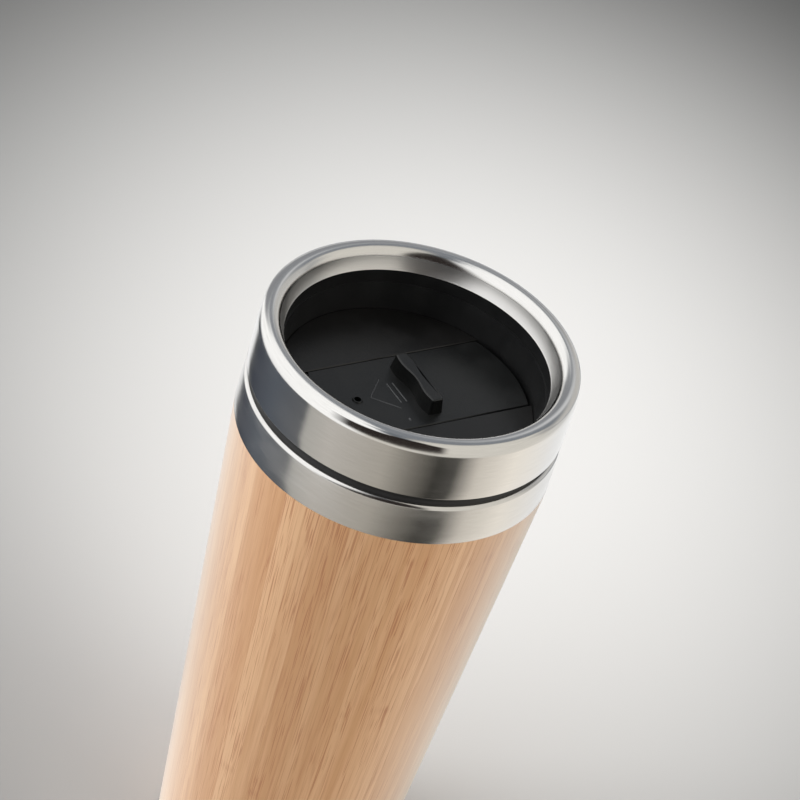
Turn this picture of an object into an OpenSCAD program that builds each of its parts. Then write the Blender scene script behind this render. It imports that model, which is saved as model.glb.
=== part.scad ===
/* [Overall] */
// Height of the closed cup from the table to the top of the rim
total_h = 186.2; // [176:0.2:200]
// Outer diameter at the steel collar
collar_d = 85; // [82:0.5:88]
// Outer diameter that the bamboo's taper runs down to at the table
foot_d = 65.6; // [62:0.2:70]

/* [Bamboo sleeve] */
// Wall of the turned bamboo at its upper and lower mouths
sleeve_wall = 3.2; // [2.8:0.1:3.6]
// Height of the bamboo's lower edge over the table
sleeve_lift = 0.8; // [0.5:0.1:1.2]
// Rounding of the bamboo's lower outer edge
sleeve_round = 1.2; // [0.6:0.1:2]

/* [Base] */
// Thickness of the plug that closes the bamboo at the bottom
cap_t = 4.2; // [3.4:0.2:5]
// Width of the base that shows round the non-slip foot
pad_margin = 3.65; // [3:0.05:5]
// Thickness of the non-slip foot
pad_t = 2; // [1.6:0.1:2.4]
// Floor thickness of the cradle under the liner
cradle_t = 1.4; // [1:0.1:2]
// Height of the cradle's rim over its floor
cradle_rim_h = 3; // [2:0.2:3.4]

/* [Liner] */
// Sheet thickness of the drawn liner
liner_t = 0.6; // [0.5:0.05:0.7]
// Distance from the collar's outside in to the bore of the liner's straight neck
neck_in = 5.9; // [5.6:0.05:6.2]
// Depth of the straight neck below the collar's top
neck_h = 22; // [20:0.5:26]
// Air gap between the liner and the bamboo at the bottom
liner_gap = 1.1; // [0.8:0.1:1.5]
// Outside rounding between the liner's wall and its floor
liner_round = 6; // [4:0.5:8]
// How far the liner's floor is domed up in the middle
liner_dome = 1.2; // [0.6:0.2:2]
// Distance from the edge of the liner's flange out to the collar's shoulder
flange_back = 0.85; // [0.6:0.05:1.2]

/* [Collar] */
// Height of the steel collar
collar_h = 12; // [10:0.5:15]
// Sheet thickness of the collar
collar_t = 0.8; // [0.6:0.05:1]
// Radius of the collar's rounded shoulder
collar_round = 1.6; // [1.2:0.1:2]
// How much the collar's radius draws in towards its top
collar_draw = 0.25; // [0.1:0.05:0.4]
// Depth of the carrier ring's spigot inside the bamboo
spigot_h = 8; // [6:0.5:10]

/* [Lid ring] */
// How far the lid ring's skirt stands back from the collar's outside
ring_back = 0.3; // [0.1:0.05:0.6]
// Height of the steel lid ring
ring_h = 17.6; // [16.8:0.2:18.6]
// Sheet thickness of the lid ring
ring_t = 0.6; // [0.5:0.05:0.7]
// Height of the long rounding from the skirt up to the rim's crest
shoulder_h = 5.3; // [4.8:0.1:5.8]
// How far the rim's crest stands in from the skirt
shoulder_w = 2.4; // [2.1:0.05:2.7]
// Radius of the rim's inner flank, from the crest down to the groove
flank_r = 2.8; // [2.6:0.05:3]
// Radius of the rounding at the top of the inner band
roll_r = 0.25; // [0.2:0.05:0.3]
// Distance from the rim's crest inwards to the middle of that rounding
roll_in = 3.05; // [2.95:0.05:3.15]
// Distance from the middle of the inner flank down to the middle of that rounding
roll_drop = 0.25; // [0.2:0.05:0.3]
// Distance from the rim's top down to the lower edge of the inner band
lip_drop = 6.1; // [5.8:0.1:6.4]
// Distance from the middle of that rounding inwards to the lower edge of the inner band
lip_in = 1.45; // [1.3:0.05:1.6]

/* [Lid core] */
// Height of the black gap between the collar and the lid ring
gap_h = 2.6; // [2.2:0.1:3]
// How far the flange in the gap stands back from the lid ring
gap_inset = 1.3; // [1:0.1:1.6]
// Thickness of the gasket under the flange
gasket_t = 0.9; // [0.7:0.05:1.1]
// Depth of the dish from the rim down to the slider's face
dish_depth = 17.9; // [17.2:0.1:18.6]
// Wall between the dish and the plug at the slider's face
dish_wall = 1.3; // [1.1:0.05:1.6]
// Height of the smooth band under the steel lip
band_h = 3.7; // [3:0.1:4.4]
// Step between the smooth band and the dish's wall
band_step = 0.35; // [0.2:0.05:0.5]
// How far the smooth band stands inside the steel lip
band_inset = 0.2; // [0.1:0.05:0.3]
// Thickness of the dish's floor
floor_t = 1.8; // [1.5:0.1:2.2]
// Room for the screw thread between the plug and the liner's neck
thread_room = 1.4; // [1.2:0.05:1.5]
// Depth of the plug below the flange
plug_h = 15.6; // [13:0.2:17]
// Wall of the plug and of the lid's other moulded walls
core_wall = 1.6; // [1.4:0.1:1.8]

/* [Slider] */
// Width of the slider's face
slider_w = 26.8; // [24:0.2:29]
// Thickness of the slider's plate
slider_t = 1.9; // [1.8:0.05:2.1]
// Width of the dark seam on each side of the slider
seam = 0.25; // [0.2:0.05:0.35]
// Width of the tongue that runs under each deck plate
tongue_w = 1.1; // [0.8:0.1:1.5]
// Thickness of that tongue
tongue_t = 0.8; // [0.6:0.05:0.9]
// Gap between the slider's end and the dish's wall
end_gap = 1; // [0.8:0.1:1.2]
// Travel of the slider
travel = 7.4; // [6.6:0.2:7.6]
// Clearance under the slider and over its tongues
slide_clear = 0.3; // [0.25:0.05:0.35]
// Chamfer round the top of the slider and of the deck plates
edge = 0.2; // [0.1:0.05:0.3]

/* [Thumb tab] */
// Length of the thumb tab across the slider
tab_l = 20.4; // [16:0.2:22]
// Mean thickness of the thumb tab at its foot
tab_w = 4.4; // [3.6:0.1:5]
// Height of the thumb tab
tab_h = 4.3; // [3.6:0.1:5]
// Depth of the wave in each face of the tab
tab_wave = 0.5; // [0.2:0.05:0.6]
// Distance from one crest of the wave to the next
tab_pitch = 13; // [11:0.5:15]
// Draw-in of each face of the tab from foot to top
tab_draft = 0.6; // [0.3:0.05:0.8]
// Radius of the tab's upright corners
tab_corner = 0.8; // [0.5:0.1:1.2]
// Rounding round the tab's top
tab_round = 0.45; // [0.3:0.05:0.6]
// Place of the tab's middle along the slider, towards the drinking opening
tab_x = 2.7; // [0:0.1:5]

/* [Openings] */
// Length of the drinking opening along the slide
mouth_l = 5.2; // [4.6:0.1:5.4]
// Width of the drinking opening
mouth_w = 14; // [11:0.5:15]
// Corner radius of the drinking opening
mouth_round = 2; // [1:0.1:2.2]
// Distance from the end of the slider back to the drinking opening
mouth_back = 2.3; // [2:0.1:2.6]
// Overlap of the slider's sealing pad round the drinking opening
pad_lap = 1.1; // [0.9:0.1:1.3]
// Diameter of the vent holes
vent_d = 1.9; // [1.5:0.1:2.4]
// Width of the raised ring round the slider's vent hole
vent_ring_w = 0.5; // [0.3:0.1:0.8]
// Height of that ring
vent_ring_h = 0.35; // [0.2:0.05:0.5]
// Distance of the slider's vent hole from the cup's axis
vent_x = 15.2; // [13:0.1:17]

/* [Hidden] */
$fn = 96;

// One overrun for every cut
over = 5;
// Clearance of pieces pressed or glued into each other
press = 0.05;
// Clearance of the sliding seal over the dish's floor
seal_clear = 0.04;
// Play between the liner's floor and the rim of its cradle
cradle_play = 0.4;

// Points of an arc round c, from angle a to angle b
function arc(c, r, a, b, n = 16) = oval(c, r, r, a, b, n);
// Points of an upright oval round c, w wide and h high to each side
function oval(c, w, h, a, b, n) = [for (i = [0:n]) let (t = a + (b - a) * i / n)
    c + [w * cos(t), h * sin(t)]];
function backwards(p) = [for (i = [len(p) - 1:-1:0]) p[i]];

// Levels, from the table up
collar_z = total_h - ring_h - gap_h - collar_h;
collar_top = collar_z + collar_h;
flange_z = collar_top + gasket_t;
ring_z = collar_top + gap_h;
deck_z = total_h - dish_depth;
floor_z = deck_z - slider_t - slide_clear;
band_top = total_h - lip_drop;
cap_top = sleeve_lift + cap_t;
liner_z = cap_top + cradle_t;

// Radii
collar_r = collar_d / 2;
foot_r = foot_d / 2;
ring_r = collar_r - ring_back;
neck_r = collar_r - neck_in;
plug_r = neck_r - thread_room;
dish_r = plug_r - dish_wall;
lip_r = ring_r - shoulder_w - roll_in - lip_in;
shoulder_r = collar_r - collar_draw - collar_round;
flange_r = shoulder_r - flange_back;
taper = (collar_r - foot_r) / collar_z;
function sleeve_r(z) = foot_r + taper * z;
mouth_bore_r = collar_r - sleeve_wall;
foot_bore_r = sleeve_r(sleeve_lift) - sleeve_wall;
pad_r = foot_bore_r - pad_margin;
liner_r = foot_bore_r + taper * cap_t - liner_gap;
deck_r = dish_r - press;
slider_r = dish_r - end_gap;

// Non-slip foot, let into the base
module foot_pad() {
    color("dimgray") cylinder(r = pad_r, h = pad_t);
}

// Plug that closes the bamboo, with a recess for the foot
module base_cap() {
    color("#2b2b2b") difference() {
        translate([0, 0, sleeve_lift]) cylinder(r = foot_bore_r - press, h = cap_t);
        translate([0, 0, pad_t - over]) cylinder(r = pad_r + press, h = over);
    }
}

// Dish that carries the liner's floor and follows its rounding
module liner_cradle() {
    round_c = [liner_r - liner_round, liner_z + liner_round];
    hug_r = liner_round + cradle_play;
    color("#3a3a3a") rotate_extrude() polygon(concat(
        [[0, cap_top],
         [foot_bore_r - press, cap_top],
         [foot_bore_r - press, liner_z + cradle_rim_h]],
        arc(round_c, hug_r, -asin((liner_round - cradle_rim_h) / hug_r), -asin(liner_round / hug_r), 10),
        [[0, liner_z]]));
}

// Bamboo laminated in upright strips and turned to a cone
module bamboo_sleeve() {
    low_c = [sleeve_r(sleeve_lift) - sleeve_round, sleeve_lift + sleeve_round];
    color("burlywood") rotate_extrude() polygon(concat(
        [[foot_bore_r, sleeve_lift]],
        arc(low_c, sleeve_round, -90, -atan(taper), 8),
        [[collar_r, collar_z],
         [mouth_bore_r, collar_z],
         [mouth_bore_r, collar_z - spigot_h],
         [mouth_bore_r - taper * spigot_h, collar_z - spigot_h],
         [foot_bore_r, cap_top]]));
}

// Moulded ring that joins bamboo, collar and liner
module carrier_ring() {
    in_r = neck_r + liner_t + press;
    seat_r = flange_r + press;
    color("#303030") rotate_extrude() polygon([
        [in_r, collar_z - spigot_h],
        [mouth_bore_r - press, collar_z - spigot_h],
        [mouth_bore_r - press, collar_z],
        [collar_r - collar_t - collar_draw - press, collar_z],
        [collar_r - collar_t - collar_draw - press, collar_top - collar_round],
        [shoulder_r, collar_top - collar_t],
        [seat_r, collar_top - collar_t],
        [seat_r, collar_top - collar_t - liner_t],
        [in_r, collar_top - collar_t - liner_t]]);
}

// One side of the liner's sheet, set in by t from the outside
function liner_side(t) = concat(
    [[0, liner_z + liner_dome + t],
     [liner_r - 2 * liner_round, liner_z + t]],
    arc([liner_r - liner_round, liner_z + liner_round], liner_round - t, -90, -atan(taper), 12),
    [[neck_r + liner_t - t, collar_top - neck_h]]);

// Deep-drawn steel liner that hangs by its flange
module liner() {
    rim_z = collar_top - collar_t;
    color("silver") rotate_extrude() polygon(concat(
        liner_side(0),
        [[neck_r + liner_t, rim_z - liner_t],
         [flange_r, rim_z - liner_t],
         [flange_r, rim_z]],
        arc([neck_r + liner_t, rim_z - liner_t], liner_t, 90, 180, 4),
        backwards(liner_side(liner_t))));
}

// Spun steel collar, folded in over the liner's flange
module steel_collar() {
    fold_r = neck_r + liner_t + press;
    shoulder_c = [shoulder_r, collar_top - collar_round];
    color("lightgray") rotate_extrude() polygon(concat(
        [[collar_r, collar_z]],
        arc(shoulder_c, collar_round, 0, 90, 12),
        [[fold_r, collar_top],
         [fold_r, collar_top - collar_t]],
        arc(shoulder_c, collar_round - collar_t, 90, 0, 8),
        [[collar_r - collar_t, collar_z]]));
}

// Silicone gasket under the lid's flange
module lid_gasket() {
    out_r = ring_r - gap_inset;
    in_r = (neck_r + liner_t + flange_r) / 2;
    color("#202020") translate([0, 0, collar_top]) difference() {
        cylinder(r = out_r, h = gasket_t);
        translate([0, 0, -over]) cylinder(r = in_r, h = gasket_t + 2 * over);
    }
}

// Outline of the drinking opening, grown by g
module mouth(g = 0) {
    r = mouth_round + g;
    x0 = slider_r - mouth_back - mouth_l - g;
    x1 = slider_r - mouth_back + g;
    y = mouth_w / 2 + g;
    translate([x0, r - y]) square([x1 - x0, 2 * (y - r)]);
    translate([x0 + r, -y]) square([x1 - x0 - 2 * r, 2 * y]);
    for (x = [x0 + r, x1 - r], v = [r - y, y - r]) translate([x, v]) circle(r = r, $fn = 48);
}

// Moulded black core: dish, floor, flange in the gap, wall that grips the ring, and plug
module lid_core() {
    rim_r = ring_r - gap_inset;
    grip_r = ring_r - ring_t - press;
    band_r = lip_r - band_inset;
    back_r = lip_r + core_wall / 2;
    wall_top_r = band_r - band_step;
    band_z = band_top - band_h;
    plug_in_r = plug_r - core_wall;
    grip_top = total_h - shoulder_h;
    color("#181818") difference() {
        rotate_extrude() polygon([
            [0, floor_z - floor_t],
            [plug_in_r, floor_z - floor_t],
            [plug_in_r, flange_z - plug_h],
            [plug_r, flange_z - plug_h],
            [plug_r, flange_z],
            [rim_r, flange_z],
            [rim_r, ring_z],
            [grip_r, ring_z],
            [grip_r, grip_top],
            [grip_r - core_wall, grip_top],
            [grip_r - core_wall, ring_z + core_wall],
            [back_r, ring_z + core_wall],
            [back_r, band_top - press],
            [band_r, band_top - press],
            [band_r, band_z],
            [wall_top_r, band_z],
            [dish_r, deck_z],
            [dish_r, floor_z],
            [0, floor_z]]);
        translate([0, 0, floor_z - floor_t - over]) linear_extrude(floor_t + 2 * over) mouth();
        translate([-vent_x - travel, 0, floor_z - floor_t - over])
            cylinder(d = vent_d, h = floor_t + 2 * over);
    }
}

// Spun steel ring: skirt, long outer rounding, crest, inner flank, groove and inner band
module lid_ring() {
    crest_r = ring_r - shoulder_w;
    out_c = [crest_r, total_h - shoulder_h];
    flank_c = [crest_r, total_h - flank_r];
    roll_c = flank_c - [roll_in, roll_drop];
    curl = 190;
    groove = flank_c + flank_r * [cos(curl), sin(curl)];
    color("lightgray") rotate_extrude() polygon(concat(
        arc([ring_r - ring_t / 2, ring_z + ring_t / 2], ring_t / 2, -180, 0, 10),
        oval(out_c, shoulder_w, shoulder_h, 0, 90, 28),
        arc(flank_c, flank_r, 95, curl, 24),
        arc(roll_c, roll_r, 20, 155, 10),
        [[lip_r, band_top + ring_t / 2],
         [lip_r + ring_t / 4, band_top],
         [lip_r + ring_t, band_top],
         groove - [0, ring_t]],
        arc(flank_c, flank_r - ring_t, curl, 95, 16),
        oval(out_c, shoulder_w - ring_t, shoulder_h - ring_t, 90, 0, 20)));
}

// Disc from a given level up to the deck, chamfered round its top
module deck_disc(r, z) {
    rotate_extrude() polygon([[0, z], [r, z], [r, deck_z - edge], [r - edge, deck_z], [0, deck_z]]);
}

// Bar along the slide from a given level up to the deck, chamfered along both sides
module deck_bar(w, z) {
    translate([-dish_r, 0, 0]) rotate([90, 0, 90]) linear_extrude(2 * dish_r)
        polygon([[-w / 2, z], [w / 2, z], [w / 2, deck_z - edge], [w / 2 - edge, deck_z],
                 [edge - w / 2, deck_z], [-w / 2, deck_z - edge]]);
}

// Plate beside the slider, with a groove below for the slider's tongue
module deck_plate() {
    chord = slider_w / 2 + seam;
    plate_w = dish_r - chord;
    color("#1b1b1b") difference() {
        intersection() {
            deck_disc(deck_r, floor_z);
            translate([0, chord + plate_w / 2, 0]) deck_bar(plate_w, floor_z);
        }
        translate([-deck_r - over, -over, floor_z - over])
            cube([2 * (deck_r + over), over + chord + tongue_w + seam, over + tongue_t + 2 * slide_clear]);
    }
}

module deck_left() {
    deck_plate();
}

module deck_right() {
    mirror([0, 1, 0]) deck_plate();
}

// Plate of the slider for a given width: one end follows the dish at rest, the other when it is open
module slider_plate(w, z) {
    intersection() {
        deck_disc(slider_r, z);
        translate([travel, 0, 0]) deck_disc(slider_r, z);
        deck_bar(w, z);
    }
}

// Plan of the slider's tongues
module tongue_plan() {
    intersection() {
        circle(r = slider_r);
        translate([travel, 0]) circle(r = slider_r);
        square([2 * dish_r, slider_w + 2 * tongue_w], center = true);
    }
}

// Outline of the thumb tab at its foot, waved on both faces, with rounded corners
function tab_face(v) = tab_w / 2 - tab_wave * cos(360 * v / tab_pitch);
function tab_turn(sx, sy, steps) = let (straight = tab_l / 2 - tab_corner, end_w = tab_face(straight))
    [for (i = steps) let (a = 18 * i)
        [sx * (end_w - tab_corner * (1 - cos(a))), sy * (straight + tab_corner * sin(a))]];
function tab_outline(n = 30) = let (straight = tab_l / 2 - tab_corner) concat(
    [for (i = [0:n]) let (v = straight * (2 * i / n - 1)) [tab_face(v), v]],
    tab_turn(1, 1, [1:5]), tab_turn(-1, 1, [5:-1:1]),
    [for (i = [0:n]) let (v = straight * (1 - 2 * i / n)) [-tab_face(v), v]],
    tab_turn(-1, -1, [1:5]), tab_turn(1, -1, [5:-1:1]));

// Thumb tab: drafted sides and a rounded top, as one stack of outlines
module thumb_tab() {
    side_h = tab_h - tab_round;
    draw = tab_draft * side_h / tab_h;
    steps = 3;
    levels = concat([[-slide_clear, 0]], [for (i = [0:steps]) let (a = 90 * i / steps)
        [side_h + tab_round * sin(a), draw + tab_round * (1 - cos(a))]]);
    foot = tab_outline();
    n = len(foot);
    rings = len(levels);
    polyhedron(
        points = [for (l = levels, p = foot)
            [p[0] * (1 - 2 * l[1] / tab_w), p[1] * (1 - 2 * l[1] / tab_l), l[0]]],
        faces = concat([[for (i = [0:n - 1]) i]], [[for (i = [n - 1:-1:0]) (rings - 1) * n + i]],
            [for (k = [0:rings - 2], i = [0:n - 1]) let (m = (i + 1) % n)
                [k * n + i, (k + 1) * n + i, (k + 1) * n + m]],
            [for (k = [0:rings - 2], i = [0:n - 1]) let (m = (i + 1) % n)
                [k * n + i, (k + 1) * n + m, k * n + m]]));
}

// Slider: plate with tongues, thumb tab, vent hole in a raised ring, and a pocket below for its seal
module slider() {
    vent_r = vent_d / 2;
    ring_top = deck_z + vent_ring_h;
    color("#1e1e1e") difference() {
        union() {
            slider_plate(slider_w, deck_z - slider_t);
            translate([0, 0, deck_z - slider_t]) linear_extrude(tongue_t) tongue_plan();
            translate([tab_x, 0, deck_z]) thumb_tab();
            translate([-vent_x, 0, 0]) rotate_extrude() polygon([
                [0, deck_z - slide_clear],
                [vent_r + vent_ring_w, deck_z - slide_clear],
                [vent_r + vent_ring_w, deck_z],
                [vent_r + vent_ring_w / 2, ring_top],
                [0, ring_top]]);
        }
        translate([-vent_x, 0, floor_z - over]) cylinder(d = vent_d, h = deck_z - floor_z + 2 * over);
        translate([0, 0, deck_z - slider_t - over]) linear_extrude(over + slider_t / 2) mouth(pad_lap);
    }
}

// Silicone pad that closes the drinking opening
module slider_seal() {
    color("#262626") translate([0, 0, floor_z + seal_clear])
        linear_extrude(slide_clear + slider_t / 2 - seal_clear) mouth(pad_lap - press);
}

foot_pad();
base_cap();
liner_cradle();
bamboo_sleeve();
carrier_ring();
liner();
steel_collar();
lid_gasket();
lid_core();
lid_ring();
deck_left();
deck_right();
slider();
slider_seal();
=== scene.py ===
import math

import bmesh
import bpy
from mathutils import Matrix, Vector


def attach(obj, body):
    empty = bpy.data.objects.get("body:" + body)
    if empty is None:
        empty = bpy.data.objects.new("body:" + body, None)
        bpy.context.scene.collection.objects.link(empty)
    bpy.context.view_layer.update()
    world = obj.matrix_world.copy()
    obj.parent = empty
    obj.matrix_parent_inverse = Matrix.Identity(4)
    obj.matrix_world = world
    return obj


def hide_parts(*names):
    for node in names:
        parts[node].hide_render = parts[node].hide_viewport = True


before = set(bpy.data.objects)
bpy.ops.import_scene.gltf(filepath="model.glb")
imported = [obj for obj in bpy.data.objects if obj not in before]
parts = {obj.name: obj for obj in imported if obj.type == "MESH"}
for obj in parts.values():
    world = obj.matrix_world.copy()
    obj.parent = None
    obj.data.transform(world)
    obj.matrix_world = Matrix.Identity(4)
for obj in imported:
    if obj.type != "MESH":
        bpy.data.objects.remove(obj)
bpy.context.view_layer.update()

# ---------------------------------------------------------------- Foot pad
# Disc of black rubber glued into the recess of the base. It is moulded with
# fine rings so that the mug grips a wet table.


def finish(name, **sockets):
    """A new material; the named sockets of its Principled shader get these values."""
    mat = bpy.data.materials.new(name)
    mat.use_nodes = True
    shader = mat.node_tree.nodes["Principled BSDF"]
    for socket, value in sockets.items():
        shader.inputs[socket.replace("_", " ")].default_value = value
    return mat, mat.node_tree, shader


def feed(socket, value):
    """Joins another socket, or sets a plain value."""
    if isinstance(value, bpy.types.NodeSocket):
        socket.id_data.links.new(value, socket)
    else:
        socket.default_value = value


def node_beside(kind, *values):
    """A new node in the tree of the first socket among the values."""
    socket = next(value for value in values if isinstance(value, bpy.types.NodeSocket))
    return socket.id_data.nodes.new(kind)


def sums(operation, *values):
    """One step of arithmetic on sockets or numbers."""
    node = node_beside("ShaderNodeMath", *values)
    node.operation = operation
    for socket, value in zip(node.inputs, values):
        feed(socket, value)
    return node.outputs[0]


def plus(a, b):
    return sums("ADD", a, b)


def minus(a, b):
    return sums("SUBTRACT", a, b)


def times(a, b):
    return sums("MULTIPLY", a, b)


def over(a, b):
    return sums("DIVIDE", a, b)


def distance(x, y):
    """How far a point lies from the axis."""
    return sums("SQRT", plus(times(x, x), times(y, y)))


def blend_colour(share, first, second):
    """Mixes two colours by a share between 0 and 1."""
    node = node_beside("ShaderNodeMix", share, first, second)
    node.data_type = "RGBA"
    feed(node.inputs["Factor"], share)
    feed(node.inputs["A"], first)
    feed(node.inputs["B"], second)
    return node.outputs["Result"]


def spread(value, low, high, to_low=0.0, to_high=1.0):
    """Maps a value smoothly from one range to another."""
    node = node_beside("ShaderNodeMapRange", value)
    node.interpolation_type = "SMOOTHSTEP"
    for socket, number in zip(node.inputs, (value, low, high, to_low, to_high)):
        feed(socket, number)
    return node.outputs[0]


def place(tree):
    """The point on the object, in metres: x, y and z."""
    node = tree.nodes.new("ShaderNodeTexCoord")
    split = tree.nodes.new("ShaderNodeSeparateXYZ")
    feed(split.inputs[0], node.outputs["Object"])
    return split.outputs[0], split.outputs[1], split.outputs[2]


def noise(x, y, z, detail, roughness=0.5):
    """Noise at a point given in noise cells."""
    join = node_beside("ShaderNodeCombineXYZ", x, y, z)
    for socket, value in zip(join.inputs, (x, y, z)):
        feed(socket, value)
    node = node_beside("ShaderNodeTexNoise", x, y, z)
    node.inputs["Scale"].default_value = 1.0
    node.inputs["Detail"].default_value = detail
    node.inputs["Roughness"].default_value = roughness
    feed(node.inputs["Vector"], join.outputs[0])
    return node.outputs[0]


def effect(name, inputs, outputs):
    """An empty node group with number or colour inputs and the named outputs."""
    tree = bpy.data.node_groups.new(name, "ShaderNodeTree")
    for label, value in inputs.items():
        kind = "NodeSocketColor" if isinstance(value, tuple) else "NodeSocketFloat"
        socket = tree.interface.new_socket(label, in_out="INPUT", socket_type=kind)
        socket.default_value = value
    for label, kind in outputs.items():
        tree.interface.new_socket(label, in_out="OUTPUT", socket_type=kind)
    start = tree.nodes.new("NodeGroupInput")
    end = tree.nodes.new("NodeGroupOutput")
    return tree, start.outputs, end.inputs


def use(tree, group, **values):
    """Places a node group in a material and returns its outputs."""
    node = tree.nodes.new("ShaderNodeGroup")
    node.node_tree = group
    for label, value in values.items():
        feed(node.inputs[label], value)
    return node.outputs


def relief(shader, height, depth):
    """Turns a height between 0 and 1 into fine relief this deep, in metres."""
    bump = node_beside("ShaderNodeBump", height)
    bump.inputs["Strength"].default_value = 1.0
    bump.inputs["Distance"].default_value = depth
    feed(bump.inputs["Height"], height)
    feed(shader.inputs["Normal"], bump.outputs["Normal"])


def dress(mat, *nodes):
    """Puts a material on CAD pieces."""
    for node in nodes:
        obj = parts[node]
        obj.data.materials.clear()
        obj.data.materials.append(mat)


# The mould's spark-eroded grain in cells per metre, with faint dust and handling marks
fine_cells, mark_cells = 2600.0, 90.0
mould_grain, given, out = effect(
    "mould grain",
    {"Cells": fine_cells},
    {"Height": "NodeSocketFloat", "Marks": "NodeSocketFloat"})
point = place(mould_grain)
fine = noise(*(times(value, given["Cells"]) for value in point), 3.0, 0.6)
feed(out["Height"], spread(fine, 0.35, 0.7))
broad = noise(*(times(value, mark_cells) for value in point), 4.0, 0.6)
feed(out["Marks"], spread(broad, 0.4, 0.75))

grain_on_rings, worn_rougher = 0.2, 0.1


def moulded(name, dark, light, roughness, cells, depth, ring_gap=0.0):
    """Black plastic or rubber with the mould's grain; ring_gap sets moulded rings this far apart."""
    mat, tree, shader = finish(name)
    grain = use(tree, mould_grain, Cells=cells)
    feed(shader.inputs["Base Color"], blend_colour(grain["Marks"], dark, light))
    feed(shader.inputs["Roughness"], spread(grain["Marks"], 0.0, 1.0, roughness, roughness + worn_rougher))
    height = grain["Height"]
    if ring_gap:
        x, y, _ = place(tree)
        wave = sums("SINE", times(distance(x, y), 2 * math.pi / ring_gap))
        height = plus(times(height, grain_on_rings), wave)
    relief(shader, height, depth)
    return mat


foot_rubber = moulded("foot rubber", dark=(0.028, 0.028, 0.029, 1), light=(0.05, 0.05, 0.05, 1),
                      roughness=0.62, cells=1800.0, depth=0.00012, ring_gap=0.0026)
dress(foot_rubber, "foot_pad")

# ---------------------------------------------------------------- Base plug and cradle
# Two black mouldings close the bamboo from below: the plug is glued into the
# sleeve's foot, and the cradle on it holds the liner's floor from rattling.

base_plastic = moulded("base plastic", dark=(0.022, 0.022, 0.023, 1), light=(0.04, 0.04, 0.041, 1),
                       roughness=0.45, cells=2200.0, depth=0.00003)
dress(base_plastic, "base_cap", "liner_cradle")

# ---------------------------------------------------------------- Bamboo sleeve
# Upright strips of bamboo glued edge to edge, turned to a cone, sanded and
# oiled. The strips differ in tone, and short brown fibre bundles run up them.

sleeve_r, strip_count = 0.038, 46.0
pale, honey, brown = (0.82, 0.50, 0.27, 1), (0.66, 0.35, 0.16, 1), (0.43, 0.135, 0.045, 1)
# Pale tone of the painted sheen that is blended in towards the sleeve's edges
painted_sheen_tone = (0.86, 0.78, 0.68, 1)
fine_strength, dash_strength, seam_strength, flake_strength = 0.35, 0.62, 0.22, 0.35

bamboo_grain, given, out = effect(
    "bamboo strips",
    {"Strips": strip_count, "Pale": pale, "Honey": honey, "Brown": brown},
    {"Color": "NodeSocketColor", "Fibres": "NodeSocketFloat", "Height": "NodeSocketFloat"})
x, y, z = place(bamboo_grain)
radius = distance(x, y)
east, north = over(x, radius), over(y, radius)

# Strips of slightly uneven width, each with a tone of its own
wander_cells, wander_strips = 9.0, 3.0
turn = plus(over(sums("ARCTAN2", y, x), 2 * math.pi), 0.5)
uneven = noise(times(east, wander_cells), times(north, wander_cells), 4.0, 1.0)
lay = plus(times(turn, given["Strips"]), times(uneven, wander_strips))
strip = sums("FLOORED_MODULO", sums("FLOOR", lay), given["Strips"])
across = sums("FRACT", lay)
random_strip = bamboo_grain.nodes.new("ShaderNodeTexWhiteNoise")
random_strip.noise_dimensions = "1D"
feed(random_strip.inputs["W"], strip)
tone = random_strip.outputs["Value"]
strip_shift = 37.0
shift = times(tone, strip_shift)


def grown(cells_round, cells_up, offset, detail, roughness):
    """Noise drawn out up the strips; cells per metre round the sleeve and up it."""
    return noise(times(east, sleeve_r * cells_round), times(north, sleeve_r * cells_round),
                 plus(times(z, cells_up), offset), detail, roughness)


wide_grain = grown(420, 14.0, shift, 3.0, 0.55)
fine_grain = grown(1900, 40.0, shift, 3.0, 0.6)
bundles = grown(3900, 68.0, times(shift, 1.7), 1.0, 0.5)
clusters = grown(260, 20.0, shift, 2.0, 0.5)

shade = plus(times(tone, 0.42), times(wide_grain, 0.92))
wood = blend_colour(spread(shade, 0.38, 0.98), given["Pale"], given["Honey"])
wood = blend_colour(spread(fine_grain, 0.5, 0.8, 0.0, fine_strength), wood, given["Brown"])
dashes = times(spread(bundles, 0.55, 0.62), spread(clusters, 0.38, 0.60, 0.25, 1.0))
wood = blend_colour(times(dashes, dash_strength), wood, given["Brown"])
seam_share = 0.05
to_edge = sums("MINIMUM", across, minus(1.0, across))
seam = minus(1.0, spread(to_edge, 0.0, seam_share))
wood = blend_colour(times(seam, seam_strength), wood, given["Brown"])

# Nodes of the cane: a short dark flake in some strips
nodes_per_metre, node_half = 6.5, 0.016
to_node = sums("ABSOLUTE", minus(sums("FRACT", plus(times(z, nodes_per_metre), shift)), 0.5))
flake = times(spread(to_node, 0.0, node_half, 1.0, 0.0), spread(bundles, 0.40, 0.60))
flake = times(flake, spread(clusters, 0.42, 0.56))
wood = blend_colour(times(flake, flake_strength), wood, given["Brown"])
feed(out["Color"], wood)
feed(out["Fibres"], sums("MAXIMUM", dashes, times(seam, 0.6)))
feed(out["Height"], minus(times(fine_grain, -0.4), times(seam, 0.5)))

bamboo, tree, shader = finish("oiled bamboo", Specular_IOR_Level=0.5, Coat_Weight=0.15, Coat_Roughness=0.4,
                              Sheen_Weight=0.65, Sheen_Roughness=0.4)
grain = use(tree, bamboo_grain, Strips=strip_count, Pale=pale, Honey=honey, Brown=brown)
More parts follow.
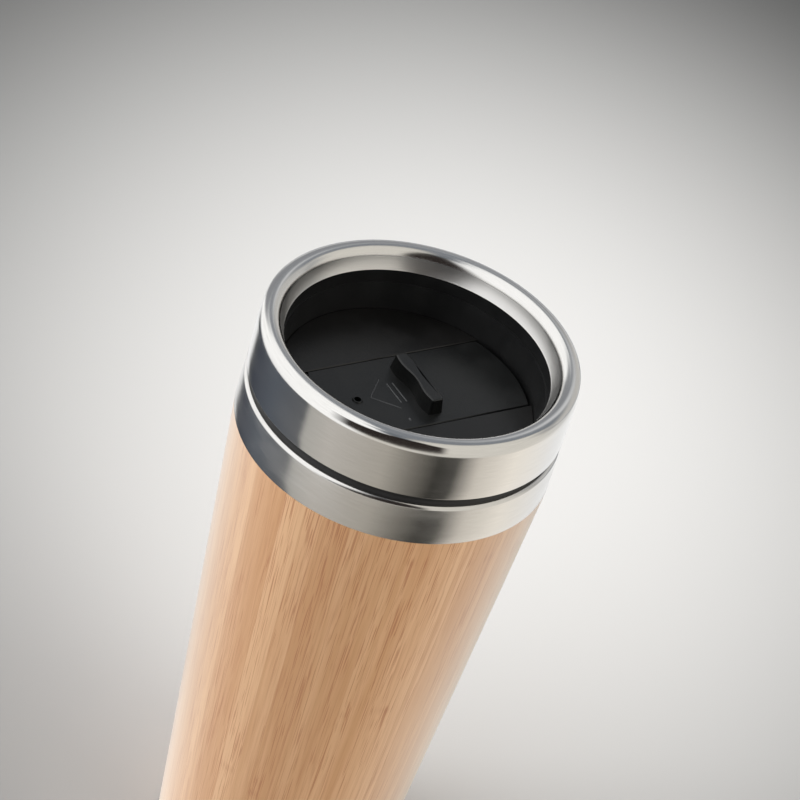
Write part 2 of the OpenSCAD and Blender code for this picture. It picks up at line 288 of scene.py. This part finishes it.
# Painted sheen: where the surface turns away from view, the colour is blended towards a pale tone that stands
# in for the reflection of the pale room
graze = tree.nodes.new("ShaderNodeLayerWeight")
graze.inputs["Blend"].default_value = 0.5
painted_sheen_share = spread(graze.outputs["Facing"], 0.35, 1.0, 0.0, 0.6)
feed(shader.inputs["Base Color"], blend_colour(painted_sheen_share, grain["Color"], painted_sheen_tone))
feed(shader.inputs["Roughness"], spread(grain["Fibres"], 0.0, 1.0, 0.42, 0.6))
relief(shader, grain["Height"], 0.00003)
dress(bamboo, "bamboo_sleeve")

# ---------------------------------------------------------------- Carrier ring
# Black moulded ring whose spigot is glued into the bamboo's mouth. It carries
# the collar and the liner's flange, and only shows with the mug cut open.

dress(base_plastic, "carrier_ring")

# ---------------------------------------------------------------- Liner
# Deep-drawn stainless cup. Its neck has three short thread ribs rolled in
# from outside, which the lid's thread climbs.

# Lathe lines per metre of height. The radius counts too, so that flat faces get lines as well
lathe_lines, lathe_streak = 9000.0, 6.0
radius_share, haze_cells = 1.37, 260.0
brushing, given, out = effect(
    "brushing round the axis",
    {"Lines": lathe_lines, "Streak": lathe_streak},
    {"Lines": "NodeSocketFloat", "Haze": "NodeSocketFloat"})
x, y, z = place(brushing)
radius = distance(x, y)
east = times(over(x, radius), given["Streak"])
north = times(over(y, radius), given["Streak"])
line = times(plus(z, times(radius, radius_share)), given["Lines"])
feed(out["Lines"], noise(east, north, line, 3.0, 0.7))
feed(out["Haze"], noise(times(east, 0.5), times(north, 0.5), times(z, haze_cells), 3.0, 0.6))

haze_depth = 0.03


def brushed(name, dark, light, roughness, anisotropy, depth, satin_zones=()):
    """Stainless steel brushed round the axis; satin zones are (full to, none from, added roughness)."""
    mat, tree, shader = finish(name, Metallic=1.0, Anisotropic=anisotropy, Anisotropic_Rotation=0.25)
    lines = use(tree, brushing, Lines=lathe_lines, Streak=lathe_streak)
    feed(shader.inputs["Base Color"], blend_colour(spread(lines["Lines"], 0.3, 0.7), dark, light))
    x, y, _ = place(tree)
    polish = spread(lines["Haze"], 0.3, 0.7, roughness - haze_depth, roughness + haze_depth)
    for full_to, none_from, added in satin_zones:
        polish = plus(polish, spread(distance(x, y), full_to, none_from, added, 0.0))
    feed(shader.inputs["Roughness"], polish)
    relief(shader, lines["Lines"], depth)
    tangent = tree.nodes.new("ShaderNodeTangent")
    tangent.direction_type = "RADIAL"
    tangent.axis = "Z"
    feed(shader.inputs["Tangent"], tangent.outputs[0])
    return mat


def piece(name, mesh, mat):
    """A new object from a finished mesh."""
    data = bpy.data.meshes.new(name)
    mesh.to_mesh(data)
    mesh.free()
    data.materials.append(mat)
    obj = bpy.data.objects.new(name, data)
    bpy.context.scene.collection.objects.link(obj)
    return obj


lead, starts = 0.012, 3
rib_root, rib_rise, rib_crest = 0.0001, 0.0011, 0.0007
steps_per_turn = 72
run_out, end_height = 10, 0.08


def thread_rib(name, wall_r, crest_r, low, turn_from, turns, foot_w, crest_w, body, mat):
    """One rib of a right-hand thread, with ends that run out into the wall."""
    steps = int(turns * steps_per_turn)
    mesh = bmesh.new()
    rings = []
    for i in range(steps + 1):
        share = i / steps
        angle = 2 * math.pi * (turn_from + turns * share)
        rise = low + lead * turns * share
        fade = min(1.0, run_out * share, run_out * (1 - share))
        fade = end_height + (1 - end_height) * math.sin(0.5 * math.pi * fade)
        crest = wall_r + (crest_r - wall_r) * fade
        crest_half = crest_w / 2 * fade
        section = ((wall_r, -foot_w / 2), (crest, -crest_half), (crest, crest_half), (wall_r, foot_w / 2))
        rings.append([mesh.verts.new((r * math.cos(angle), r * math.sin(angle), rise + h)) for r, h in section])
    for a, b in zip(rings, rings[1:]):
        for k in range(4):
            mesh.faces.new((a[k], b[k], b[(k + 1) % 4], a[(k + 1) % 4]))
    mesh.faces.new(rings[0])
    mesh.faces.new(list(reversed(rings[-1])))
    bmesh.ops.recalc_face_normals(mesh, faces=mesh.faces)
    obj = piece(name, mesh, mat)
    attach(obj, body)
    return obj


liner_steel = brushed("liner steel", dark=(0.56, 0.55, 0.53, 1), light=(0.66, 0.65, 0.63, 1),
                      roughness=0.32, anisotropy=0.5, depth=0.000004)
dress(liner_steel, "liner")

neck_r, neck_low = 0.0366, 0.1525
neck_rib_turns, neck_rib_foot = 0.62, 0.0013
for k in range(starts):
    thread_rib(f"neck_thread_{k + 1}", neck_r + rib_root, neck_r - rib_rise, neck_low + lead / starts / 2,
               k / starts, neck_rib_turns, neck_rib_foot, rib_crest, "cup", liner_steel)

# ---------------------------------------------------------------- Steel collar
# Spun stainless ring over the bamboo's mouth, folded in over the liner's
# flange. It is brushed on the lathe, so the lines run round it.


def arc(centre, wide, high, start, end, steps):
    """Points (radius, height) of an upright oval, in millimetres, between two angles."""
    points = []
    for i in range(steps + 1):
        angle = math.radians(start + (end - start) * i / steps)
        points.append((centre[0] + wide * math.cos(angle), centre[1] + high * math.sin(angle)))
    return points


def spun(name, outline, mat, body, node):
    """A piece spun from an outline of (radius, height) in millimetres, which stands for a CAD piece."""
    count, mm = 300, 0.001
    turns = [2 * math.pi * i / count for i in range(count)]
    mesh = bmesh.new()
    rings = []
    for r, h in outline:
        rings.append([mesh.verts.new((mm * r * math.cos(turn), mm * r * math.sin(turn), mm * h))
                      for turn in turns])
    for a, b in zip(rings, rings[1:] + rings[:1]):
        for i in range(count):
            following = (i + 1) % count
            mesh.faces.new((a[i], a[following], b[following], b[i])).smooth = True
    bmesh.ops.recalc_face_normals(mesh, faces=mesh.faces)
    obj = piece(name, mesh, mat)
    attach(obj, body)
    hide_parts(node)
    return obj


collar_steel = brushed("collar steel", dark=(0.68, 0.67, 0.65, 1), light=(0.74, 0.73, 0.71, 1),
                       roughness=0.20, anisotropy=0.5, depth=0.0000012)
lower_edge = arc((42.4, 154.1), 0.1, 0.1, -90, 0, 3)
wall = [(42.45, 157.0), (42.38, 160.5)]
rounding = arc((41.15, 164.9), 1.1, 1.1, 2, 90, 14)
folded_edge = [(37.25, 166.0), (37.15, 165.9), (37.15, 165.3), (37.25, 165.2)]
inside = arc((40.95, 164.7), 0.5, 0.5, 90, 2, 6) + [(41.7, 154.1), (41.8, 154.0)]
spun("collar_spun", lower_edge + wall + rounding + folded_edge + inside, collar_steel, "cup", "steel_collar")

# ---------------------------------------------------------------- Gasket
# Flat ring of black silicone between the lid's flange and the collar. Screwing
# the lid down squeezes it, which seals the mug.

silicone = moulded("gasket silicone", dark=(0.014, 0.014, 0.015, 1), light=(0.02, 0.02, 0.021, 1),
                   roughness=0.5, cells=1500.0, depth=0.00002)
dress(silicone, "lid_gasket")

# ---------------------------------------------------------------- Lid core
# One black moulding: dish, floor, plug and the flange that shows as the dark
# gap. Its plug carries a quick thread of three starts.

lid_plastic = moulded("lid plastic", dark=(0.0040, 0.0042, 0.0045, 1), light=(0.0070, 0.0073, 0.0076, 1),
                      roughness=0.44, cells=3200.0, depth=0.000014)
dress(lid_plastic, "lid_core")

plug_r, plug_low = 0.0352, 0.1525
plug_rib_turns, plug_rib_foot = 0.8, 0.0014
for k in range(starts):
    thread_rib(f"plug_thread_{k + 1}", plug_r - rib_root, plug_r + rib_rise, plug_low,
               k / starts, plug_rib_turns, plug_rib_foot, rib_crest, "lid", lid_plastic)

# ---------------------------------------------------------------- Lid ring
# Spun stainless ring snapped over the core: skirt, rounded crest, fine groove
# and inner band. It is brushed on the lathe, and less finely within the crest.

crest_satin = (0.0398, 0.0412, 0.07)
band_satin = (0.0366, 0.0371, 0.168)
ring_steel = brushed("ring steel", dark=(0.70, 0.69, 0.67, 1), light=(0.76, 0.75, 0.73, 1),
                     roughness=0.11, anisotropy=0.65, depth=0.0000010, satin_zones=(crest_satin, band_satin))
hem = arc((41.9, 168.9), 0.3, 0.3, -180, 0, 10)
skirt = [(42.2, 172.0), (42.2, 176.5)]
shoulder = arc((36.2, 182.2), 6.0, 6.0, 0, 7, 5) + arc((27.763, 181.164), 14.5, 14.5, 8, 15, 8)
corner = arc((41.19, 184.762), 0.6, 0.6, 18, 55, 8)
crest = arc((39.6, 182.363), 3.49, 3.49, 57, 92, 14)
flank = arc((39.6, 182.77), 2.95, 3.1, 97, 162, 24)
groove = [(36.75, 183.55), (36.71, 183.43)]
band = arc((25.931, 186.636), 11.24, 11.24, -17, -34, 16)
band_edge = [(35.16, 180.28), (35.15, 180.22), (35.24, 180.14)]
band_back = [(36.0, 180.14), (36.7, 181.2), (37.2, 182.6), (37.28, 183.3)]
crest_back = arc((39.6, 182.9), 2.35, 2.5, 160, 92, 10) + arc((39.6, 182.65), 2.8, 2.8, 88, 60, 6)
skirt_back = [(41.4, 184.4), (41.6, 182.0), (41.6, 175.0)]
outer_side = hem + skirt + shoulder + corner + crest
dish_side = flank + groove + band + band_edge
spun("ring_spun", outer_side + dish_side + band_back + crest_back + skirt_back, ring_steel, "lid", "lid_ring")

# ---------------------------------------------------------------- Deck plates
# Two black plates welded to the dish's floor. The slider runs between them,
# with its tongues under their edges.

deck_plastic = moulded("deck plastic", dark=(0.0028, 0.0027, 0.0025, 1), light=(0.0055, 0.0053, 0.0050, 1),
                       roughness=0.30, cells=3200.0, depth=0.000012)
dress(deck_plastic, "deck_left", "deck_right")

# ---------------------------------------------------------------- Slider
# Black moulded slide with a waved thumb tab. An arrow and two bars are
# moulded on it in fine raised lines, and a pip marks its closed place.

slider_plastic = moulded("slider plastic", dark=(0.0032, 0.0036, 0.0036, 1), light=(0.0065, 0.0070, 0.0069, 1),
                         roughness=0.28, cells=3200.0, depth=0.000012)
dress(slider_plastic, "slider")

deck_z = 0.1683
sunk = 0.00003
line_w, line_h = 0.00042, 0.00017
pip_w, pip_h = 0.0007, 0.0002


def raised_line(mesh, start, end, width, height):
    """One raised line on the slider, with sloped sides and rounded ends."""
    start, end = Vector(start), Vector(end)
    along = (end - start).normalized()
    side = Vector((-along.y, along.x))
    lower, upper = [], []
    for centre, turn in ((start, 90), (end, -90)):
        for i in range(7):
            angle = math.radians(turn + 30 * i)
            out = along * math.cos(angle) + side * math.sin(angle)
            low = centre + out * width / 2
            top = centre + out * width / 8
            lower.append(mesh.verts.new((low.x, low.y, deck_z - sunk)))
            upper.append(mesh.verts.new((top.x, top.y, deck_z + height)))
    count = len(lower)
    for k in range(count):
        mesh.faces.new((lower[k], lower[(k + 1) % count], upper[(k + 1) % count], upper[k]))
    mesh.faces.new(upper)
    mesh.faces.new(list(reversed(lower)))


bars_x, bar_half = (-0.0040, -0.0023), 0.0037
arrow_tip, arrow_foot, arrow_half = -0.0112, -0.0053, 0.0057
pip_x, pip_from, pip_to = -0.0052, -0.0104, -0.0100
marks = bmesh.new()
for bar_x in bars_x:
    raised_line(marks, (bar_x, -bar_half), (bar_x, bar_half), line_w, line_h)
for side in (1, -1):
    raised_line(marks, (arrow_tip, 0.0), (arrow_foot, side * arrow_half), line_w, line_h)
raised_line(marks, (pip_x, pip_from), (pip_x, pip_to), pip_w, pip_h)
bmesh.ops.recalc_face_normals(marks, faces=marks.faces)
# Painted highlight: the raised lines are coloured far lighter than the slider, which stands in for the glint of
# light on their sides
crest_highlight_paint = moulded("crests with painted highlight", dark=(0.050, 0.052, 0.055, 1), light=(0.075, 0.078, 0.082, 1),
                        roughness=0.32, cells=3200.0, depth=0.000006)
slider_marks = piece("slider_marks", marks, crest_highlight_paint)
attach(slider_marks, "slide_plate")

# ---------------------------------------------------------------- Slider seal
# Pad of black silicone pressed into the slider's underside. It closes the
# drinking opening.

dress(silicone, "slider_seal")

# ---------------------------------------------------------------- Floor
# Pale studio floor with a painted pool of light: its colour is palest just behind the mug,
# and darker away from there, sooner to the sides than to the front and back.

painted_light_pale, painted_falloff_dim = (0.74, 0.74, 0.74, 1), (0.085, 0.087, 0.087, 1)
pool_right, pool_half_width = 0.026, 0.25
pool_back, pool_half_depth = 0.22, 0.35
floor_r, floor_z = 4.0, -0.0002

floor_mat, tree, shader = finish("studio floor", Roughness=0.9, Specular_IOR_Level=0.1)
x, y, _ = place(tree)
# Right and back as the camera sees them, whose view is turned by 42 degrees
cos_view, sin_view = 0.743, 0.669
to_right = minus(times(x, cos_view), times(y, sin_view))
to_back = plus(times(x, sin_view), times(y, cos_view))
from_painted_pool = distance(over(minus(to_right, pool_right), pool_half_width),
                     over(minus(to_back, pool_back), pool_half_depth))
# Painted light: the colour fades from the pale tone of the lit pool to a dim one away from it
feed(shader.inputs["Base Color"], blend_colour(spread(from_painted_pool, 0.1, 1.27), painted_light_pale, painted_falloff_dim))
bpy.ops.mesh.primitive_circle_add(vertices=96, radius=floor_r, fill_type="NGON", location=(0, 0, floor_z))
floor = bpy.context.object
floor.name = "floor"
floor.data.materials.append(floor_mat)

# ---------------------------------------------------------------- Studio
# A tall white box stands on the left and a cream wall on the right. The camera's
# side and the ceiling stay dark, and glowing cloths on the table, painted with light and shade, give the steel
# its bands.


def ramp(value, stops):
    """Colour that follows a value through (value, grey or colour) stops."""
    node = node_beside("ShaderNodeValToRGB", value)
    low, high = stops[0][0], stops[-1][0]
    while len(node.color_ramp.elements) < len(stops):
        node.color_ramp.elements.new(0.5)
    for element, (at, colour) in zip(node.color_ramp.elements, stops):
        element.position = (at - low) / (high - low)
        element.color = (*colour, 1) if isinstance(colour, tuple) else (colour, colour, colour, 1)
    feed(node.inputs[0], over(minus(value, low), high - low))
    return node.outputs[0]


def turn_of(x, y):
    """Compass angle in degrees, from +X towards +Y, between 0 and 360."""
    return times(sums("FLOORED_MODULO", sums("ARCTAN2", y, x), 2 * math.pi), 180 / math.pi)


def between(value, start, full, fading, end):
    """Full between two angles, and nothing before the start or after the end."""
    return times(spread(value, start, full), spread(value, fading, end, 1.0, 0.0))


# Walls by compass angle: grey, then the white box, the open side, and the cream wall
white, cream, murk, slate = 1.25, (0.80, 0.77, 0.71), (0.030, 0.024, 0.022), (0.25, 0.27, 0.30)
wall_right, wall_left = (0.62, 0.61, 0.59, 1), (0.30, 0.31, 0.33, 1)
ceiling, lamp_tone, paper = (0.19, 0.21, 0.24, 1), (0.75, 0.76, 0.78, 1), (0.80, 0.80, 0.80, 1)
up_to_box = ((0, slate), (78, slate), (90, white))
from_opening = ((259, murk), (264, cream), (325, cream), (352, slate), (360, slate))
around = (*up_to_box, (193, white), (209, murk), *from_opening)

world = bpy.data.worlds.new("studio room")
bpy.context.scene.world = world
world.use_nodes = True
tree = world.node_tree
looking = tree.nodes.new("ShaderNodeTexCoord")
split = tree.nodes.new("ShaderNodeSeparateXYZ")
feed(split.inputs[0], looking.outputs["Generated"])
x, y, z = split.outputs
level = times(sums("ARCSINE", z), 180 / math.pi)
turn = turn_of(x, y)

# The box's edge leans, by a third of a degree for each degree of height
box_lean = 0.33
lean = times(times(level, box_lean), between(turn, 150, 185, 236, 252))
room = ramp(minus(turn, lean), around)

# Low wall behind the mug, brighter to the right
back_turn = 35.0
compass = minus(sums("FLOORED_MODULO", plus(turn, 180.0), 360.0), 180.0)
from_back = sums("ABSOLUTE", minus(compass, back_turn))
low_wall = times(spread(from_back, 46, 54, 1.0, 0.0), spread(level, 28, 42, 1.0, 0.0))
wall_tone = blend_colour(spread(compass, 26, 44), wall_right, wall_left)
room = blend_colour(low_wall, room, wall_tone)

# Higher up, cream cloth hangs to the right and white cloth to the left
high = spread(level, 30, 48)
cloth_right = times(spread(from_back, 28, 38), spread(turn, 270, 300))
room = blend_colour(times(cloth_right, high), room, (*cream, 1))
cloth_left = between(turn, 58, 70, 150, 170)
room = blend_colour(times(cloth_left, high), room, (white, white, white, 1))

# The ceiling comes down lower over the open side
ceiling_drop = 13.0
open_side = between(turn, 196, 208, 258, 266)
above = spread(plus(level, times(open_side, ceiling_drop)), 78, 88)
room = blend_colour(above, room, ceiling)

# A small lamp on the wall behind
lamp_turn, lamp_level, lamp_half_w, lamp_half_h = 36.0, 38.0, 11.0, 9.0
lamp_away = distance(over(minus(turn, lamp_turn), lamp_half_w), over(minus(level, lamp_level), lamp_half_h))
room = blend_colour(spread(lamp_away, 0.2, 1.6, 1.0, 0.0), room, lamp_tone)

# The pale paper behind the mug: the camera sees it all round, steel and gloss low at the back
path = tree.nodes.new("ShaderNodeLightPath")
low_at_back = times(spread(from_back, 48, 56, 1.0, 0.0), spread(level, 3, 10, 1.0, 0.0))
mirrored = times(plus(path.outputs["Is Glossy Ray"], path.outputs["Is Transmission Ray"]), low_at_back)
seen = sums("MAXIMUM", path.outputs["Is Camera Ray"], mirrored)
room = blend_colour(seen, room, paper)
feed(tree.nodes["Background"].inputs["Color"], room)
tree.nodes["Background"].inputs["Strength"].default_value = 1.0

lamp_size = 1.2
aim = Vector((0, 0, 0.12))
for label, watts, colour, where in (
        ("left lamp", 20.0, (1.0, 0.99, 0.97), (-1.0, 1.0, 0.85)),
        ("right lamp", 9.0, (1.0, 0.96, 0.89), (0.65, -1.25, 0.75)),
        ("front lamp", 4.5, (1.0, 0.97, 0.93), (-0.85, -0.88, 0.12))):
    light = bpy.data.lights.new(label, "AREA")
    light.shape = "DISK"
    light.size = lamp_size
    light.energy = watts
    light.color = colour
    lamp = bpy.data.objects.new(label, light)
    lamp.location = where
    lamp.rotation_euler = (aim - lamp.location).to_track_quat("-Z", "Y").to_euler()
    lamp.visible_camera = lamp.visible_glossy = False
    bpy.context.scene.collection.objects.link(lamp)

# Glowing cloths on the table in three rings round the mug, painted with the table's light and shade: only steel
# and gloss see them, as painted reflections
near_stops = (
    (0, 0.96), (84, 0.96), (93, (0.10, 0.105, 0.11)), (104, (0.065, 0.072, 0.09)),
    (136, (0.105, 0.12, 0.145)), (167, (0.14, 0.145, 0.155)), (171, (0.50, 0.49, 0.46)),
    (190, (0.60, 0.57, 0.53)), (228, (0.47, 0.44, 0.39)), (246, (0.22, 0.205, 0.18)),
    (262, (0.045, 0.043, 0.038)), (274, (0.08, 0.077, 0.07)), (290, (0.74, 0.69, 0.62)),
    (318, (1.05, 0.99, 0.90)), (360, 0.96))
middle_stops = ((0, 0.7), (84, 0.8), (92, white), (200, white), (214, cream), (325, cream), (360, 0.7))
far_stops = (*up_to_box, (186, white), (200, murk), *from_opening)
cloths_in, cloths_out, cloths_z = 0.07, 3.6, 0.0004

glowing_cloths = bpy.data.materials.new("glowing table cloths")
glowing_cloths.use_nodes = True
tree = glowing_cloths.node_tree
tree.nodes.clear()
glow = tree.nodes.new("ShaderNodeEmission")
feed(tree.nodes.new("ShaderNodeOutputMaterial").inputs["Surface"], glow.outputs[0])
x, y, _ = place(tree)
away = distance(x, y)
turn = turn_of(x, y)
colour = blend_colour(spread(away, 0.33, 0.38), ramp(turn, near_stops), ramp(turn, middle_stops))
colour = blend_colour(spread(away, 0.47, 0.56), colour, ramp(turn, far_stops))
feed(glow.inputs["Color"], colour)
sheet = bmesh.new()
for radius in (cloths_out, cloths_in):
    bmesh.ops.create_circle(sheet, cap_ends=False, segments=144, radius=radius)
bmesh.ops.bridge_loops(sheet, edges=sheet.edges[:])
bmesh.ops.translate(sheet, verts=sheet.verts, vec=(0, 0, cloths_z))
glowing_cloth = piece("glowing table cloths", sheet, glowing_cloths)
glowing_cloth.visible_camera = glowing_cloth.visible_diffuse = glowing_cloth.visible_shadow = glowing_cloth.visible_transmission = False

# ---------------------------------------------------------------- Camera
# The photograph's view, with a long lens: from above the vent end, rolled so
# that the mug leans to the right.

lens_px, image_px, sensor = 3000.0, 800.0, 36.0
collar_low = 0.154
away, height = 0.61634, 0.48158 + collar_low
yaw, pitch, roll = (math.radians(v) for v in (-0.092, 37.377, 17.593))
track = math.radians(42.0)
forward = Vector((math.sin(yaw) * math.cos(pitch), math.cos(yaw) * math.cos(pitch), -math.sin(pitch)))
right = forward.cross(Vector((0, 0, 1))).normalized()
up = right.cross(forward)
right, up = (right * math.cos(roll) + up * math.sin(roll), up * math.cos(roll) - right * math.sin(roll))
spin = Matrix.Rotation(-track, 3, "Z")
place_at = spin @ Vector((0, -away, height))
axes = Matrix((spin @ right, spin @ up, -(spin @ forward))).transposed()
camera_data = bpy.data.cameras.new("camera")
camera_data.sensor_width = sensor
camera_data.lens = sensor * lens_px / image_px
camera = bpy.data.objects.new("camera", camera_data)
camera.matrix_world = Matrix.Translation(place_at) @ axes.to_4x4()
bpy.context.scene.collection.objects.link(camera)
bpy.context.scene.camera = camera

bpy.context.scene.view_settings.view_transform = "Standard"
